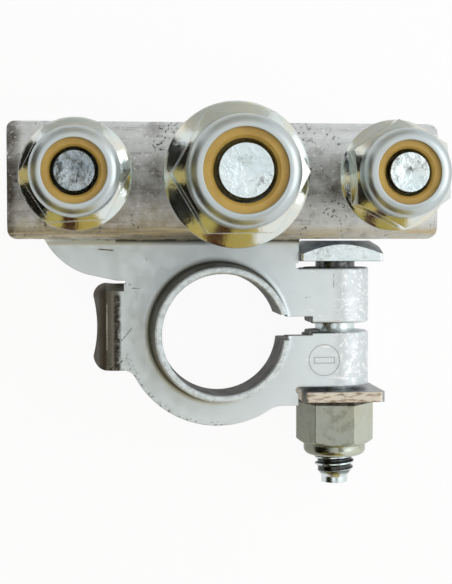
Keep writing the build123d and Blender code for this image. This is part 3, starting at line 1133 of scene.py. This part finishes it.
@dataclass
class Studio:
    """Pale floor, soft light from the right, cards that the metal mirrors, and the camera."""

    floor_size: float = 4.0
    floor_gap: float = 0.2 * MM
    floor_glow: float = 0.93
    floor_mirror: float = 0.45
    floor_colour: Colour = (0.92, 0.92, 0.92, 1.0)
    white: Colour = (1.0, 1.0, 1.0, 1.0)
    dim_side: float = 1.04
    bright_side: float = 1.14
    over_colour: Colour = tint(128, 126, 108)
    over_place: Triple = (0.12, -0.1, 0.45)
    over_size: tuple[float, float] = (0.16, 0.1)
    card_distance: float = 0.25
    card_height: float = 0.42
    cards: tuple[Card, ...] = (
        Card("rear_grey_card", tint(212, 211, 209), 62.0, 128.0),
        Card("rear_dark_card", tint(34, 32, 28), 140.0, 169.0),
        Card("left_tan_card", tint(206, 190, 130), 169.0, 183.0),
        Card("left_dark_card", tint(30, 28, 24), 183.0, 226.0),
        Card("left_yellow_card", tint(206, 186, 108), 226.0, 247.0),
        Card("front_brown_card", tint(84, 54, 36), 247.0, 266.0),
        Card("front_yellow_card", tint(206, 184, 104), 266.0, 296.0),
    )
    lamp_place: Triple = (0.34, 0.06, 0.3)
    lamp_size: float = 0.3
    lamp_power: float = 0.35
    lamp_colour: Triple = (0.97, 0.99, 1.0)
    camera_place: Triple = (-16.7 * MM, 13.57 * MM, 179.15 * MM)
    camera_turn: Triple = (-2.488, -5.679, -0.02)
    lens: float = 76.37
    sensor: float = 36.0
    nearest: float = 0.01

    def build(self) -> None:
        """Builds the stage, the light and the camera."""
        self._floor()
        self._world()
        for card in self.cards:
            self._stand(card)
        self._card("upper_card", self.over_colour, self.over_size).location = self.over_place
        self._lamp()
        self._camera()

    @staticmethod
    def _sheet(name: str, size: tuple[float, float], material: Material) -> bpy.types.Object:
        """Makes a flat sheet of the stage.

        Args:
            name: The sheet's name.
            size: Its width and its depth.
            material: Its finish.

        Returns:
            The sheet, lying at the origin.
        """
        shape = bmesh.new()
        half_x, half_y = size[0] / 2, size[1] / 2
        corners = [(-half_x, -half_y), (half_x, -half_y), (half_x, half_y), (-half_x, half_y)]
        shape.faces.new([shape.verts.new((x, y, 0.0)) for x, y in corners])
        sheet = place_shape(name, shape, material)
        return sheet

    def _card(self, name: str, colour: Colour, size: tuple[float, float]) -> bpy.types.Object:
        """Makes a matt card that the camera doesn't see.

        Args:
            name: The card's name.
            colour: Its colour.
            size: Its width and its depth.

        Returns:
            The card, lying at the origin.
        """
        matt = even_finish(name, Base_Color=colour, Roughness=1.0, Specular_IOR_Level=0.0)
        card = self._sheet(name, size, matt)
        card.visible_camera = False
        return card

    def _stand(self, card: Card) -> None:
        """Stands a card beside the object.

        Args:
            card: The card.
        """
        width = 2 * self.card_distance * tan(radians(card.end - card.start) / 2)
        sheet = self._card(card.name, card.colour, (width, self.card_height))
        bearing = radians(card.start + card.end) / 2
        away = Vector((cos(bearing), sin(bearing), 0.0)) * self.card_distance
        sheet.location = away + UP * (self.card_height / 2)
        sheet.rotation_euler = Euler((-RIGHT_ANGLE, 0.0, bearing + RIGHT_ANGLE))

    @staticmethod
    def _show(board: Board, out: str, lighting: Node, shown: Node, camera: float, mirror: float) -> None:
        """Ends a background's nodes, with one shader that lights and one for rays that show it.

        Args:
            board: The board of the background's nodes.
            out: The output's type name.
            lighting: The shader that lights the object.
            shown: The shader that is seen.
            camera: Its share for the camera's rays.
            mirror: Its share for rays off metal and through glass.
        """
        path = board.add("ShaderNodeLightPath").outputs
        mirrored = board.most(path["Is Glossy Ray"], path["Is Transmission Ray"])
        seen = board.most(board.times(path["Is Camera Ray"], camera), board.times(mirrored, mirror))
        blend = board.add("ShaderNodeMixShader", {0: seen, 1: lighting.outputs[0], 2: shown.outputs[0]})
        board.add(out, {"Surface": blend.outputs[0]})

    def _floor(self) -> None:
        """Lays the floor, which keeps a faint shadow."""
        material = bpy.data.materials.new("pale_floor")
        board = Board(empty_tree(material))
        matt = board.add("ShaderNodeBsdfDiffuse", {"Color": self.floor_colour})
        glow = board.add("ShaderNodeEmission")
        self._show(board, "ShaderNodeOutputMaterial", matt, glow, self.floor_glow, self.floor_mirror)
        floor = self._sheet("floor", (self.floor_size, self.floor_size), material)
        floor.location.z = cad_box[0].z - self.floor_gap

    def _world(self) -> None:
        """Lights the object softly, more from the right, before a pale background."""
        world = bpy.data.worlds.new("studio")
        board = Board(empty_tree(world))
        around = board.add("ShaderNodeTexCoord").outputs["Generated"]
        way = board.add("ShaderNodeSeparateXYZ", {0: around}).outputs
        level = board.span(board.ramp(way["X"], -1.0, 1.0), self.dim_side, self.bright_side)
        soft = board.add("ShaderNodeBackground", {"Color": self.white, "Strength": level})
        pale = board.add("ShaderNodeBackground", {"Color": self.white})
        self._show(board, "ShaderNodeOutputWorld", soft, pale, camera=1.0, mirror=1.0)
        bpy.context.scene.world = world

    def _lamp(self) -> None:
        """Hangs the soft lamp, which points at the object."""
        data = bpy.data.lights.new("key_lamp", "AREA")
        data.size = self.lamp_size
        data.energy = self.lamp_power
        data.color = self.lamp_colour
        lamp = place_object("key_lamp", data)
        lamp.location = self.lamp_place
        lamp.rotation_euler = (-Vector(self.lamp_place)).to_track_quat("-Z", "Y").to_euler()

    def _camera(self) -> None:
        """Sets the camera above the object, as in the photograph."""
        data = bpy.data.cameras.new("camera")
        data.lens = self.lens
        data.sensor_width = self.sensor
        data.clip_start = self.nearest
        camera = place_object("camera", data)
        camera.location = self.camera_place
        camera.rotation_euler = Euler([radians(angle) for angle in self.camera_turn])
        bpy.context.scene.camera = camera
        bpy.context.scene.view_settings.view_transform = "Standard"


def clear_start_scene() -> None:
    """Removes what Blender's start file holds."""
    for name in ("Cube", "Light", "Camera"):
        if name in bpy.data.objects:
            bpy.data.objects.remove(bpy.data.objects[name])


def main() -> None:
    """Builds every sub-assembly in order."""
    logging.basicConfig(level=logging.INFO, format="%(name)s: %(message)s")
    clear_start_scene()
    nylon = AmberNylon().build()
    clean = ZincPlate("stud_zinc", zinc=tint(228, 238, 240), warm_share=0.1, smudge=0.85, dull=(0.12, 0.3),
                      edge=0.08 * MM, depth=0.14 * MM)
    dirty = replace(clean, name="dirty_stud_zinc", zinc=tint(170, 182, 188), cool=tint(120, 136, 150),
                    cool_share=0.9, smudge=1.0, depth=0.24 * MM)
    studs = {Place.LEFT: dirty.build()}
    studs[Place.CENTRE] = studs[Place.RIGHT] = clean.build()
    ClampBody().build()
    for place, pitch in ((Place.LEFT, 1.0 * MM), (Place.CENTRE, 1.25 * MM), (Place.RIGHT, 1.0 * MM)):
        StudWithNut(place, pitch).build(studs[place], nylon)
    ClampScrew().build(nylon)
    Studio().build()


if __name__ == "__main__":
    main()
